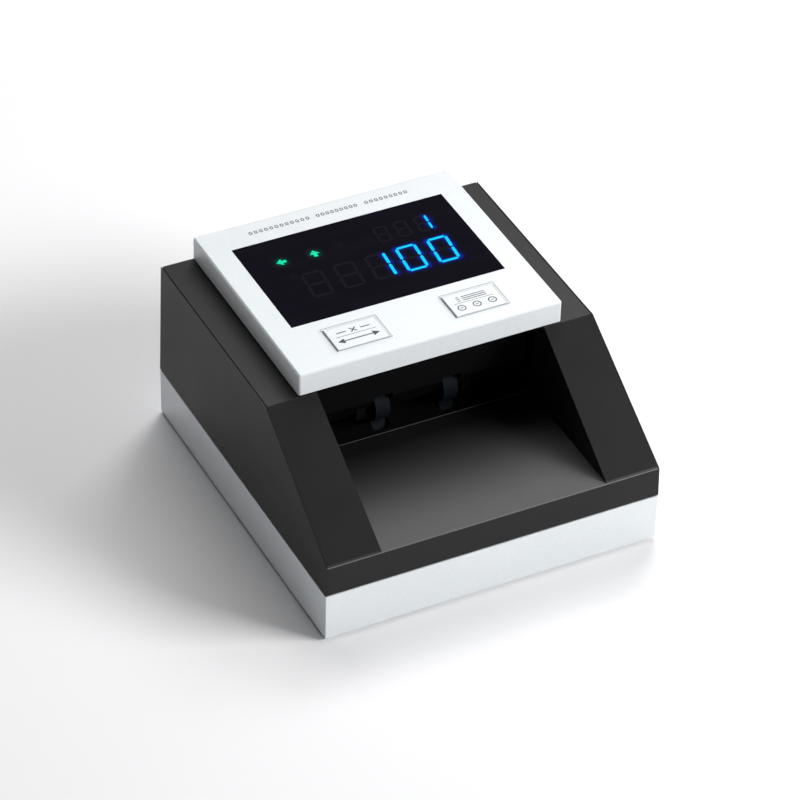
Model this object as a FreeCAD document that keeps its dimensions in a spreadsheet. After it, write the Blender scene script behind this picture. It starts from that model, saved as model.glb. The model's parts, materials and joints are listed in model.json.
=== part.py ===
"""Counterfeit bill detector: a desk-top unit that draws a banknote from an open front tray through a
sensor channel and shows its value on a raised console.

Millimetres, +Z up, the operator's side is -Y. The origin is the centre of the footprint, on the desk.
The object comes apart as: a silver base with a black shell, the transport deck with its belt-driven
rollers, and a hinged lid that carries the console, the upper sensors and the idler rollers.
"""
import FreeCAD, Part
import math
import os
import re

import Sketcher
from FreeCAD import Placement, Rotation, Vector

DIMENSIONS = {
    # outer body
    "body_width": 138.0, "body_depth": 149.5, "foot_drop": 1.2, "base_height": 20.3,
    "band_height": 12.9, "shell_height": 48.2, "slope_run": 54.2, "side_draft": 1.2,
    "base_wall": 2.5, "shell_wall": 2.2, "side_thick": 2.4, "seam_lip": 0.3, "seam_gap": 0.4,
    "joint_gap": 0.1, "shadow_height": 0.45, "shadow_depth": 0.8, "edge_break": 0.3,
    # room round pieces: a fit, a turning fit, a thread, and how far a cutting tool runs past a face
    "fit_gap": 0.2, "running_gap": 0.05, "thread_fit": 0.05, "over": 1.0,
    # base, its bosses, floor and feet
    "boss_x": 58.5, "boss_y": 64.5, "boss_drop": 4.0, "floor_thick": 2.0, "foot_x": 56.0,
    "foot_y": 61.0, "foot_radius": 6.5, "vent_half": 1.2, "vent_pitch": 7.0, "vent_front": 30.0,
    "vent_rear": 58.0,
    # feed opening and transport deck
    "tray_width": 92.8, "tray_flare": 1.5, "jamb_wall": 2.4, "tray_floor": 2.0, "tray_length": 61.5,
    "lid_seat": 0.3, "deck_gap": 0.2, "deck_rise": 0.6, "deck_thick": 2.0, "deck_half": 47.6,
    "rail_wall": 1.8, "deck_rail": 10.0, "rail_start": 1.0, "channel_gap": 2.4,
    # sensor panes and their boards
    "pane_half": 40.0, "pane_thick": 1.2, "pane_fit": 0.1, "pane_ledge": 2.0, "lower_pane_y": 20.0,
    "lower_pane_half": 8.0, "upper_pane_y": 21.0, "upper_pane_half": 7.0, "board_margin": 0.6,
    "diode_pitch": 6.0, "diode_half": 1.5, "diode_gap": 0.2, "post_x": 40.0, "post_half": 1.0,
    "lower_board_drop": 1.8, "upper_board_rise": 4.2, "solder_depth": 0.2,
    # magnetic heads
    "head_pitch": 26.0, "head_y": 32.0, "magnet_half": 6.0, "magnet_depth": 2.0, "magnet_height": 8.9,
    # rollers, shafts and chassis
    "roller_radius": 7.0, "roller_length": 6.0, "roller_spacing": 28.6, "roller_proud": 0.15,
    "nip_gap": 0.3, "roller_room": 0.8, "front_shaft_y": -2.75, "rear_shaft_y": 44.25,
    "shaft_radius": 2.0, "shaft_tail": 2.0, "bush_wall": 1.5, "bush_flange": 1.0, "chassis_x": 50.0,
    "chassis_thick": 1.6, "chassis_front": -13.0, "chassis_rear": 60.0, "chassis_rise": 5.0,
    "chassis_foot": 7.0,
    # pulleys, belt and motor
    "pulley_radius": 8.0, "motor_pulley_radius": 4.5, "pulley_width": 5.0, "pulley_x": 56.0,
    "flange_thick": 0.5, "belt_lip": 0.4, "belt_thick": 1.0, "belt_width": 3.6, "belt_gap": 0.15,
    "motor_y": 20.0, "motor_z": 18.6, "motor_radius": 10.0, "motor_length": 32.0,
    "motor_boss": 3.9, "boss_proud": 0.6, "motor_shaft_radius": 1.5, "motor_shaft_length": 20.0,
    "motor_well": 14.0,
    # lid and its hinge
    "lid_thick": 2.0, "barrel_radius": 7.0, "barrel_half": 65.0, "pin_radius": 2.0, "pin_grip": 10.0,
    "pin_wall": 2.0, "core_half": 4.6, "web_run": 6.0, "notch_depth": 3.2, "wire_half": 14.0,
    "wire_front": 45.0, "wire_rear": 55.0,
    # upper housing
    "housing_half": 45.0, "housing_front": -9.75, "housing_rear": 58.0, "housing_lip": 48.8,
    "housing_chin_y": -4.0, "housing_chin_z": 39.4, "housing_flat_y": 10.0, "housing_wall": 2.0,
    "lip_wall": 0.6, "chin_wall": 1.2, "idler_axle_radius": 1.5, "axle_half": 24.0, "axle_play": 0.3,
    "axle_room": 20.0, "axle_clear": 0.5, "rib_half": 4.0, "column_radius": 3.4,
    "column_height": 16.0, "column_bore": 12.0,
    # console
    "console_width": 108.8, "console_depth": 95.0, "console_height": 9.3, "console_gap": 0.7,
    "console_lead": 0.3, "console_wall": 2.0, "console_round": 0.9, "console_boss": 2.9,
    "tray_thick": 1.4, "prop_x": 43.0, "prop_front": -2.0, "prop_rear": 60.0, "prop_radius": 2.0,
    "window_width": 89.1, "window_depth": 53.8, "window_y": 33.95, "window_thick": 1.2,
    "window_ledge": 2.0, "window_fit": 0.05,
    # display board, keys and their switches
    "display_lift": 3.0, "display_half": 46.0, "display_front": -15.0, "display_rear": 66.0,
    "module_height": 3.6, "lamp_radius": 2.5, "switch_half": 3.0, "switch_height": 0.8,
    "plunger_radius": 1.5, "plunger_rise": 1.4, "key_width": 21.0, "key_depth": 13.0, "key_gap": 0.3,
    "key_x": 24.5, "key_y": -6.35, "key_proud": 0.5, "key_flange": 1.0, "flange_height": 0.9,
    "flange_drop": 0.1,
    # main board
    "board_thick": 1.6, "main_board_z": 6.2, "main_half_width": 44.0, "main_half_depth": 60.0,
    "standoff_x": 40.0, "standoff_y": 56.0, "standoff_radius": 3.0, "buzzer_x": -28.0,
    "buzzer_y": -34.0, "buzzer_radius": 6.0, "buzzer_height": 7.5,
    # rear wall and its fittings
    "rear_top": 57.0, "exit_low": 34.6, "exit_high": 40.0, "port_x": 57.0, "port_half": 4.5,
    "inlet_z": 30.0, "inlet_deep": 12.0, "inlet_bore": 3.0, "inlet_pin": 1.0, "data_z": 44.0,
    "data_deep": 9.0, "data_half": 2.5, "data_wall": 0.7, "tongue_half": 0.4, "tongue_inset": 1.2,
    "rocker_z": 36.0, "rocker_half": 6.3, "rocker_tall": 10.0, "rocker_wall": 1.0,
    "rocker_pivot": 3.4, "rocker_reach": 8.0, "rocker_face": 1.2, "rocker_rise": 2.0,
    "rocker_back": 3.0, "rocker_foot": 6.0,
    # fasteners
    "screw_x": 62.5, "screw_y": 68.0, "screw_radius": 1.2, "screw_room": 0.1, "head_radius": 2.7,
    "head_height": 1.3, "socket_radius": 1.1, "socket_depth": 0.6, "base_screw_length": 9.5,
    "screw_tip": 0.5, "housing_screw_x": 38.5, "housing_screw_front": -3.5,
    "housing_screw_rear": 52.0, "housing_screw_length": 10.0, "console_screw_x": 49.0,
    "console_screw_front": -8.5, "console_screw_rear": 56.0, "console_screw_length": 6.5,
}

doc = FreeCAD.newDocument("BillDetector")
sheet = doc.addObject("Spreadsheet::Sheet", "Dims")
for row, (alias, value) in enumerate(DIMENSIONS.items(), start=1):
    sheet.set(f"A{row}", alias.replace("_", " "))
    sheet.set(f"B{row}", str(value))
    sheet.setAlias(f"B{row}", alias)
doc.recompute()

# Heights and stations that several pieces share, as expressions in the sheet's words.
FRONT = "(-body_depth / 2)"
REAR = "(body_depth / 2)"
BASE_LOW = "foot_drop"
BASE_TOP = "(foot_drop + base_height)"
FLOOR_TOP = "(foot_drop + floor_thick)"
TRAY_Z = "(foot_drop + base_height + band_height)"
SHELL_TOP = "(foot_drop + base_height + shell_height)"
LID_LOW = f"({SHELL_TOP} - lid_thick)"
SLOPE_TOP_Y = f"({FRONT} + slope_run)"
SLOPE_RISE = "(shell_height - band_height)"
DECK_FRONT = f"({FRONT} + tray_length + deck_gap)"
DECK_TOP = f"({TRAY_Z} + deck_rise)"
DECK_LOW = f"({DECK_TOP} - deck_thick)"
DECK_REAR = f"({REAR} - shell_wall - fit_gap)"
DRIVE_Z = f"({DECK_TOP} + roller_proud - roller_radius)"
IDLER_Z = f"({DECK_TOP} + roller_proud + nip_gap + roller_radius)"
HOUSING_LOW = f"({DECK_TOP} + channel_gap)"
HINGE_Y = f"({REAR} - barrel_radius)"
HINGE_Z = f"({SHELL_TOP} - barrel_radius)"
CONSOLE_LOW = f"({SHELL_TOP} + console_gap)"
CONSOLE_TOP = f"({CONSOLE_LOW} + console_height)"
CONSOLE_FRONT = f"({SLOPE_TOP_Y} + console_lead)"
CONSOLE_REAR = f"({CONSOLE_FRONT} + console_depth)"
CONSOLE_ROOF = f"({CONSOLE_TOP} - console_wall)"
DISPLAY_TOP = f"({SHELL_TOP} + display_lift + board_thick)"
FLANGE_TOP = f"({CONSOLE_ROOF} - flange_drop)"

SIDES = ((-1, "left"), (1, "right"))
STATIONS = (("front", "front_shaft_y"), ("rear", "rear_shaft_y"))


def bound(text):
    """Point every dimension's word in an expression at its cell."""
    words = r"[a-z]+(?:_[a-z]+)*"
    return re.sub(words, lambda m: f"Dims.{m[0]}" if m[0] in DIMENSIONS else m[0], str(text))


def cell(alias):
    """A dimension's value, for the few shapes that are made directly."""
    return float(sheet.get(alias))


def size(text):
    """The present value of an expression in the sheet's words."""
    return float(sheet.evalExpression(bound(text)))


def span(middle, half):
    """The low and high ends of a stretch about its middle."""
    return f"({middle}) - ({half})", f"({middle}) + ({half})"


def ordered(first, second):
    """Two expressions, the lower value first."""
    return sorted((first, second), key=size)


def four_spots(x, front, rear):
    """The four places at plus and minus x and at two stations."""
    return [(f"{side} * ({x})", station) for side, _ in SIDES for station in (front, rear)]


def label(item, name):
    item.Label = name
    return item


def place(item, x, y, z):
    for axis, value in zip("xyz", (x, y, z)):
        item.setExpression(f"Placement.Base.{axis}", bound(value))


def box(name, x, y, z):
    """A block between two expressions on each axis."""
    item = doc.addObject("Part::Box", name)
    for side, (low, high) in zip(("Length", "Width", "Height"), (x, y, z)):
        item.setExpression(side, bound(f"({high}) - ({low})"))
    place(item, x[0], y[0], z[0])
    return label(item, name)


AXIS_TURN = {"X": Rotation(Vector(0, 1, 0), 90), "Y": Rotation(Vector(1, 0, 0), -90), "Z": Rotation()}


def rod(name, axis, start, length, radius):
    """A cylinder that runs from its start point along +X, +Y or +Z."""
    item = doc.addObject("Part::Cylinder", name)
    item.Placement = Placement(Vector(), AXIS_TURN[axis])
    item.setExpression("Radius", bound(radius))
    item.setExpression("Height", bound(length))
    place(item, *start)
    return label(item, name)


def fuse(name, pieces):
    item = doc.addObject("Part::MultiFuse", name)
    item.Shapes = pieces
    return label(item, name)


def group(name, pieces):
    item = doc.addObject("Part::Compound", name)
    item.Links = pieces
    return label(item, name)


def cut(name, base, tools):
    item = doc.addObject("Part::Cut", name)
    item.Base = base
    item.Tool = tools[0] if len(tools) == 1 else fuse(f"{name}_tools", tools)
    return label(item, name)


def near(value, target, room=0.02):
    return abs(value - target) < room


def edges_where(feature, test):
    """Numbers of a feature's edges whose middle point passes a test."""
    numbers = []
    for number, edge in enumerate(feature.Shape.Edges, start=1):
        middle = edge.valueAt((edge.FirstParameter + edge.LastParameter) / 2)
        if test(middle):
            numbers.append(number)
    if not numbers:
        raise RuntimeError(f"no edge of {feature.Label} passes")
    return numbers


def soften(name, base, test, radius, kind="Part::Fillet"):
    """Round or chamfer the edges of a piece whose middle points pass a test."""
    doc.recompute()
    item = doc.addObject(kind, name)
    item.Base = base
    item.Edges = [(number, cell(radius), cell(radius)) for number in edges_where(base, test)]
    return label(item, name)


def soften_body(body, name, feature, test, radius, kind="PartDesign::Fillet"):
    """The same inside a body, after its last feature."""
    doc.recompute()
    item = body.newObject(kind, name)
    item.Base = (feature, [f"Edge{number}" for number in edges_where(feature, test)])
    item.setExpression("Size" if kind.endswith("Chamfer") else "Radius", bound(radius))
    return item


def origin_plane(body, role):
    return next(item for item in body.Origin.OriginFeatures if item.Role == role)


def outline(body, name, role, offset, corners):
    """A closed sketch of straight runs whose corners are tied to expressions, on an origin plane."""
    sketch = body.newObject("Sketcher::SketchObject", name)
    sketch.AttachmentSupport = [(origin_plane(body, role), "")]
    sketch.MapMode = "FlatFace"
    sketch.setExpression("AttachmentOffset.Base.z", bound(offset))
    count = len(corners)
    rough = [Vector(*(size(value) for value in corner), 0) for corner in corners]
    for index in range(count):
        sketch.addGeometry(Part.LineSegment(rough[index], rough[(index + 1) % count]))
    for index in range(count):
        sketch.addConstraint(Sketcher.Constraint("Coincident", index, 2, (index + 1) % count, 1))
    for index, corner in enumerate(corners):
        for kind, value in zip(("DistanceX", "DistanceY"), corner):
            here = size(value)
            ends = (-1, 1, index, 1) if here >= 0 else (index, 1, -1, 1)
            tied = sketch.addConstraint(Sketcher.Constraint(kind, *ends, abs(here)))
            word = f"{kind}_{index}"
            sketch.renameConstraint(tied, word)
            sign = "" if here >= 0 else "-"
            sketch.setExpression(f"Constraints.{word}", bound(f"{sign}({value})"))
    sketch.Visibility = False
    return sketch


def pad(body, name, sketch, length, towards_normal=True):
    item = body.newObject("PartDesign::Pad", name)
    item.Profile = sketch
    item.setExpression("Length", bound(length))
    item.Reversed = not towards_normal
    return item


def pocket(body, name, sketch, length=None, reverse=False, both_ways=False):
    """A pocket of a given length, or through everything on one side or on both."""
    item = body.newObject("PartDesign::Pocket", name)
    item.Profile = sketch
    if length is None:
        item.Type = 1
    else:
        item.setExpression("Length", bound(length))
    item.Reversed = reverse
    item.Midplane = both_ways
    return item


def new_body(name):
    return label(doc.addObject("PartDesign::Body", name), name)


def half_at(height, inset):
    """Half the shell's width at a height, inside its drafted sides by an inset."""
    return f"(body_width / 2 - ({inset}) - side_draft * (({height}) - {BASE_TOP}) / shell_height)"


def symmetric(low, high, at_low, at_high):
    """Corners of a section that is the same to the left and to the right."""
    return [(f"-({at_low})", low), (at_low, low), (at_high, high), (f"-({at_high})", high)]


def slope_drop(inset):
    """How far below the sloping face a parallel face lies, measured straight down."""
    return f"(({inset}) * sqrt(slope_run ^ 2 + {SLOPE_RISE} ^ 2) / slope_run)"


def slope_z(station, inset):
    return f"({TRAY_Z} - {slope_drop(inset)} + (({station}) - {FRONT}) * {SLOPE_RISE} / slope_run)"


def slope_y(height, inset):
    return f"({FRONT} + (({height}) - {TRAY_Z} + {slope_drop(inset)}) * slope_run / {SLOPE_RISE})"


def cut_slope(body, name, inset):
    """Take off everything above a face parallel to the slope."""
    ahead = f"({FRONT} - over)"
    above = f"({SHELL_TOP} + over)"
    corners = [(ahead, slope_z(ahead, inset)), (slope_y(above, inset), above), (ahead, above)]
    pocket(body, name, outline(body, f"{name}_line", "YZ_Plane", 0, corners), both_ways=True)


def screw(name, spot, head_low, shank_low, shank_high):
    """A flat-headed screw: where its head starts and the stretch of its shank."""
    head = rod(f"{name}_head", "Z", (*spot, head_low), "head_height", "head_radius")
    shank = rod(f"{name}_shank", "Z", (*spot, shank_low), f"({shank_high}) - ({shank_low})", "screw_radius")
    return fuse(name, [head, shank])


# ---------------------------------------------------------------- silver base

def base_frame():
    def ring(name, inset, low, high):
        return box(name, span("0", f"body_width / 2 - {inset}"), span("0", f"body_depth / 2 - {inset}"),
                   (low, high))

    def corner(p):
        return near(abs(p.x), cell("body_width") / 2) and near(abs(p.y), cell("body_depth") / 2)

    shadow_low = f"({BASE_TOP} - shadow_height)"
    outer = soften("base_rounded", ring("base_outer", "0", BASE_LOW, shadow_low), corner, "edge_break")
    step = ring("base_step", "shadow_depth", f"{shadow_low} - over", BASE_TOP)
    inner = ring("base_inner", "base_wall", f"{BASE_LOW} - over", f"{BASE_TOP} + over")
    bosses = []
    holes = []
    for side, _ in SIDES:
        for end in (-1, 1):
            across = ordered(f"{side} * (body_width / 2 - base_wall)", f"{side} * boss_x")
            along = ordered(f"{end} * (body_depth / 2 - base_wall)", f"{end} * boss_y")
            upright = (f"{FLOOR_TOP} + fit_gap", f"{BASE_TOP} - boss_drop")
            bosses.append(box("base_boss", across, along, upright))
            holes.append(rod("boss_hole", "Z", (f"{side} * screw_x", f"{end} * screw_y", BASE_LOW),
                             "base_screw_length + 2 * over", "screw_radius + thread_fit"))
    wall = cut("base_wall_ring", fuse("base_walls", [outer, step]), [inner])
    cut("base_frame", fuse("base_with_bosses", [wall] + bosses), holes)


def bottom_cover():
    """The plate under the base with its vents, its four screws and the four feet."""
    room = "base_wall - fit_gap"
    plate = box("cover_plate", span("0", f"body_width / 2 - {room}"), span("0", f"body_depth / 2 - {room}"),
                (BASE_LOW, FLOOR_TOP))
    through = (f"{BASE_LOW} - over", f"{FLOOR_TOP} + over")
    holes = []
    screws = []
    for spot in four_spots("screw_x", "-screw_y", "screw_y"):
        holes.append(rod("head_room", "Z", (*spot, f"{BASE_LOW} - over"), "over + head_height",
                         "head_radius + screw_room"))
        holes.append(rod("shank_room", "Z", (*spot, BASE_LOW), "floor_thick + over",
                         "screw_radius + screw_room"))
        blank = screw("bottom_screw_blank", spot, BASE_LOW, f"{BASE_LOW} + screw_tip",
                      f"{BASE_LOW} + base_screw_length")
        socket = rod("screw_socket", "Z", (*spot, f"{BASE_LOW} - over"), "over + socket_depth",
                     "socket_radius")
        screws.append(cut("bottom_screw", blank, [socket]))
    for index in range(-3, 4):
        holes.append(box("vent", span(f"{index} * vent_pitch", "vent_half"), ("vent_front", "vent_rear"),
                         through))
    cut("bottom_plate", plate, holes)
    group("bottom_screws", screws)
    group("rubber_feet", [rod("foot", "Z", (*spot, "0"), "foot_drop", "foot_radius")
                          for spot in four_spots("foot_x", "-foot_y", "foot_y")])


# ---------------------------------------------------------------- black shell

def side_panel(name, side):
    """A side wall: a thin skin to the full outline, on a plate set back for its neighbours' edges."""
    def section(word, high, outer, inner, station):
        low = BASE_TOP
        corners = [(f"{side} * {half_at(low, inner)}", low), (f"{side} * {half_at(low, outer)}", low),
                   (f"{side} * {half_at(high, outer)}", high), (f"{side} * {half_at(high, inner)}", high)]
        return outline(body, word, "XZ_Plane", f"-({station})", corners)

    def rear_top(p):
        return near(p.z, size(plate_top)) and near(p.y, size(f"{REAR} - side_thick"))

    body = new_body(f"{name}_wall")
    plate_top = f"({SHELL_TOP} - side_thick)"
    plate_line = section(f"{name}_plate_line", plate_top, "seam_lip / 2", "side_thick",
                         f"{FRONT} + side_thick")
    plate = pad(body, f"{name}_plate", plate_line, "body_depth - 2 * side_thick", towards_normal=False)
    soften_body(body, f"{name}_turn", plate, rear_top, "barrel_radius - side_thick")
    cut_slope(body, f"{name}_set_back", "side_thick")
    skin_line = section(f"{name}_skin_line", SHELL_TOP, "0", "seam_lip", FRONT)
    pad(body, f"{name}_skin", skin_line, "body_depth", towards_normal=False)
    cut_slope(body, f"{name}_slope", "0")
    skin = half_at(HINGE_Z, "seam_lip")
    start = f"-{skin}" if side < 0 else "barrel_half - over"
    hole = rod(f"{name}_pin_hole", "X", (start, HINGE_Y, HINGE_Z), f"{skin} - barrel_half + over",
               "pin_radius")
    cut(name, body, [hole])


def front_shell():
    """Front band, sloping cheeks, the walls of the feed opening and its floor, in one moulding."""
    body = new_body("front_shell")
    edge = "seam_lip + joint_gap"
    roof = f"({SHELL_TOP} + over)"
    below = f"({BASE_TOP} - over)"
    beyond = f"({FRONT} + tray_length + over)"
    block = outline(body, "shell_section", "XZ_Plane", "body_depth / 2",
                    symmetric(BASE_TOP, SHELL_TOP, half_at(BASE_TOP, edge), half_at(SHELL_TOP, edge)))
    pad(body, "shell_block", block, "tray_length", towards_normal=False)
    cut_slope(body, "shell_slope", "0")
    ahead = f"({FRONT} - over)"
    bevel = [(ahead, f"({TRAY_Z} - edge_break - over)"),
             (f"({FRONT} + edge_break + over)", f"({TRAY_Z} + over)"), (ahead, f"({TRAY_Z} + over)")]
    pocket(body, "band_bevel", outline(body, "bevel_line", "YZ_Plane", 0, bevel), both_ways=True)
    seat = f"({LID_LOW} - lid_seat)"
    under_lid = [(SLOPE_TOP_Y, seat), (beyond, seat), (beyond, roof), (SLOPE_TOP_Y, roof)]
    pocket(body, "lid_seat", outline(body, "seat_line", "YZ_Plane", 0, under_lid), both_ways=True)
    channel = outline(body, "feed_section", "XZ_Plane", "body_depth / 2",
                      symmetric(TRAY_Z, roof, "tray_width / 2", "tray_width / 2 + tray_flare / 2"))
    pocket(body, "feed_opening", channel)
    inner_front = f"({FRONT} + shell_wall)"
    floor_low = f"({TRAY_Z} - tray_floor)"
    under = [(inner_front, below), (beyond, below), (beyond, floor_low), (inner_front, floor_low)]
    pocket(body, "under_floor", outline(body, "under_line", "YZ_Plane", 0, under), both_ways=True)
    cheek = [(inner_front, below), (beyond, below), (beyond, roof), (slope_y(roof, "shell_wall"), roof),
             (inner_front, slope_z(inner_front, "shell_wall"))]
    for side, word in SIDES:
        wall = f"{side} * (tray_width / 2 + jamb_wall)"
        line = outline(body, f"{word}_cheek_line", "YZ_Plane", wall, cheek)
        pocket(body, f"{word}_cheek", line, reverse=side > 0)


def rear_cover():
    body = new_body("rear_wall")
    edge = "seam_lip + joint_gap"
    wall = outline(body, "rear_section", "XZ_Plane", "shell_wall - body_depth / 2",
                   symmetric(BASE_TOP, "rear_top", half_at(BASE_TOP, edge), half_at("rear_top", edge)))
    pad(body, "rear_block", wall, "shell_wall", towards_normal=False)
    through = (f"{REAR} - shell_wall - over", f"{REAR} + over")
    openings = [
        box("exit_slot", span("0", "tray_width / 2"), through, ("exit_low", "exit_high")),
        box("inlet_hole", span("port_x", "port_half"), through, span("inlet_z", "port_half")),
        box("data_hole", span("port_x", "port_half"), through, span("data_z", "data_half")),
        box("rocker_hole", span("-port_x", "rocker_half"), through, span("rocker_z", "rocker_tall")),
    ]
    cut("rear_cover", body, openings)


def power_inlet():
    shell = box("inlet_shell", span("port_x", "port_half"), (f"{REAR} - inlet_deep", REAR),
                span("inlet_z", "port_half"))
    floor = f"({REAR} - inlet_deep + 2 * over)"
    bore = rod("inlet_bore_tool", "Y", ("port_x", floor, "inlet_z"), "inlet_deep", "inlet_bore")
    pin = rod("inlet_centre_pin", "Y", ("port_x", f"{floor} - over", "inlet_z"),
              "inlet_deep - 2.5 * over", "inlet_pin")
    fuse("power_inlet", [cut("inlet_socket", shell, [bore]), pin])


def data_port():
    shell = box("data_shell", span("port_x", "port_half"), (f"{REAR} - data_deep", REAR),
                span("data_z", "data_half"))
    mouth = box("data_mouth", span("port_x", "port_half - data_wall"),
                (f"{REAR} - data_deep + 2 * over", f"{REAR} + over"), span("data_z", "data_half - data_wall"))
    tongue = box("data_tongue", span("port_x", "port_half - data_wall - over"),
                 (f"{REAR} - data_deep + over", f"{REAR} - tongue_inset"), span("data_z", "tongue_half"))
    fuse("data_port", [cut("data_socket", shell, [mouth]), tongue])


def rear_switch():
    outside = box("switch_block", span("-port_x", "rocker_half"), (f"{REAR} - inlet_deep", REAR),
                  span("rocker_z", "rocker_tall"))
    inside = box("switch_well", span("-port_x", "rocker_half - rocker_wall"),
                 (f"{REAR} - inlet_deep + 2 * over", f"{REAR} + over"),
                 span("rocker_z", "rocker_tall - rocker_wall"))
    cut("power_switch", outside, [inside])
    body = new_body("power_rocker")
    pivot = f"({REAR} - rocker_pivot)"
    face = f"{pivot} + rocker_face"
    back = f"{pivot} - rocker_back"
    corners = [(face, "rocker_z - rocker_reach"), (face, "rocker_z"),
               (f"{face} + rocker_rise", "rocker_z + rocker_reach"),
               (back, "rocker_z + rocker_foot"), (back, "rocker_z - rocker_foot")]
    half = "(rocker_half - rocker_wall - fit_gap)"
    line = outline(body, "rocker_line", "YZ_Plane", f"-port_x - {half}", corners)
    pad(body, "rocker_block", line, f"2 * {half}")


# ---------------------------------------------------------------- transport deck and drive

def roller_slots(y, z):
    """An opening round each of the two rollers on a shaft."""
    return [box("roller_slot", span(f"{side} * roller_spacing / 2", "roller_length / 2 + roller_room"), y, z)
            for side, _ in SIDES]


def slot_run(station):
    return span(station, "roller_radius + over")


def sensor_pane(name, station, half_depth, low):
    box(name, span("0", "pane_half - pane_fit"), span(station, f"{half_depth} - pane_fit"),
        (low, f"{low} + pane_thick"))


def pane_seat(name, station, half_depth, rebate, through):
    """The stepped opening that holds a sensor pane."""
    return [box(f"{name}_rebate", span("0", "pane_half"), span(station, half_depth), rebate),
            box(f"{name}_through", span("0", "pane_half - pane_ledge"),
                span(station, f"{half_depth} - pane_ledge"), through)]


def sensor_board(name, station, half_depth, low, diode_z, post_z):
    """A board with a row of emitters behind its pane, on two posts."""
    plate = box(f"{name}_plate", span("0", "pane_half + over"), span(station, f"{half_depth} + board_margin"),
                (low, f"{low} + board_thick"))
    diodes = [box(f"{name}_diode", span(f"{step} * diode_pitch", "diode_half"),
                  span(station, "diode_half"), diode_z) for step in range(-6, 7)]
    posts = [box(f"{name}_post", span(f"{side} * post_x", "post_half"), span(station, "post_half"), post_z)
             for side, _ in SIDES]
    fuse(name, [plate] + diodes + posts)


def note_deck():
    def lip(p):
        return near(p.y, size(DECK_FRONT)) and near(p.z, size(DECK_TOP))

    plate = box("deck_plate", span("0", "deck_half"), (DECK_FRONT, DECK_REAR), (DECK_LOW, DECK_TOP))
    deck = soften("deck_bevel", plate, lip, "edge_break", "Part::Chamfer")
    rails = [box(f"deck_rail_{word}", ordered(f"{side} * deck_half", f"{side} * (deck_half - rail_wall)"),
                 (f"{DECK_FRONT} + rail_start", DECK_REAR), (f"{DECK_TOP} - over", f"{DECK_TOP} + deck_rail"))
             for side, word in SIDES]
    through = (f"{DECK_LOW} - over", f"{DECK_TOP} + over")
    pane_low = f"({DECK_TOP} - pane_thick)"
    openings = pane_seat("lower", "lower_pane_y", "lower_pane_half", (pane_low, f"{DECK_TOP} + over"),
                         through)
    for _, station in STATIONS:
        openings += roller_slots(slot_run(station), through)
    cut("note_deck", fuse("deck_tray", [deck] + rails), openings)
    sensor_pane("lower_sensor_window", "lower_pane_y", "lower_pane_half", pane_low)
    board_top = f"({DECK_LOW} - lower_board_drop)"
    sensor_board("lower_sensor_board", "lower_pane_y", "lower_pane_half", f"({board_top} - board_thick)",
                 (f"{board_top} - solder_depth", f"{pane_low} - diode_gap"),
                 (f"{board_top} - solder_depth", DECK_LOW))


def chassis():
    run = ("chassis_front", "chassis_rear")
    bush_radius = "(shaft_radius + bush_wall)"
    bushes = []
    for side, word in SIDES:
        low = f"({side} * chassis_x - chassis_thick / 2)"
        inner = f"{side} * (chassis_x - chassis_thick / 2)"
        web = box(f"{word}_web", (low, f"{low} + chassis_thick"), run,
                  (FLOOR_TOP, f"{DECK_LOW} + chassis_rise"))
        foot = box(f"{word}_foot", ordered(inner, f"{side} * (chassis_x + chassis_foot)"), run,
                   (FLOOR_TOP, f"{FLOOR_TOP} + chassis_thick"))
        holes = [rod("bush_hole", "X", (f"{low} - over", station, DRIVE_Z), "chassis_thick + 2 * over",
                     bush_radius) for _, station in STATIONS]
        if side < 0:
            holes.append(rod("motor_hole", "X", (f"{low} - over", "motor_y", "motor_z"),
                             "chassis_thick + 2 * over", "motor_boss + pane_fit"))
        cut(f"{word}_chassis_plate", fuse(f"{word}_bracket", [web, foot]), holes)
        flange_x = f"{low} - bush_flange" if side > 0 else f"{low} + chassis_thick"
        for _, station in STATIONS:
            sleeve = rod("bush_sleeve", "X", (low, station, DRIVE_Z), "chassis_thick", bush_radius)
            flange = rod("bush_collar", "X", (flange_x, station, DRIVE_Z), "bush_flange",
                         f"{bush_radius} + bush_flange")
            bore = rod("bush_bore", "X", (f"{low} - 2 * over", station, DRIVE_Z),
                       "chassis_thick + 4 * over", "shaft_radius + running_gap")
            bushes.append(cut("shaft_bush", fuse("bush_blank", [sleeve, flange]), [bore]))
    group("shaft_bushes", bushes)


def pulley(name, y, z, radius, bore):
    """A flanged belt pulley on the left-hand end of a shaft."""
    low = "(-pulley_x - pulley_width / 2)"
    hub = rod(f"{name}_hub", "X", (low, y, z), "pulley_width", radius)
    flanges = [rod(f"{name}_flange", "X", (f"{low} + {start}", y, z), "flange_thick",
                   f"{radius} + belt_thick + belt_lip") for start in ("0", "pulley_width - flange_thick")]
    hole = rod(f"{name}_bore", "X", (f"{low} - over", y, z), "pulley_width + 2 * over", bore)
    cut(name, fuse(f"{name}_blank", [hub] + flanges), [hole])


def rollers(name, y, z, bore):
    pair = []
    for side, _ in SIDES:
        middle = f"{side} * roller_spacing / 2"
        tyre = rod("tyre", "X", (f"{middle} - roller_length / 2", y, z), "roller_length", "roller_radius")
        hole = rod("roller_bore", "X", (f"{middle} - roller_length", y, z), "2 * roller_length", bore)
        pair.append(cut("roller", tyre, [hole]))
    group(name, pair)


SHAFT_START = "(-pulley_x - pulley_width / 2 - over)"


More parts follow.
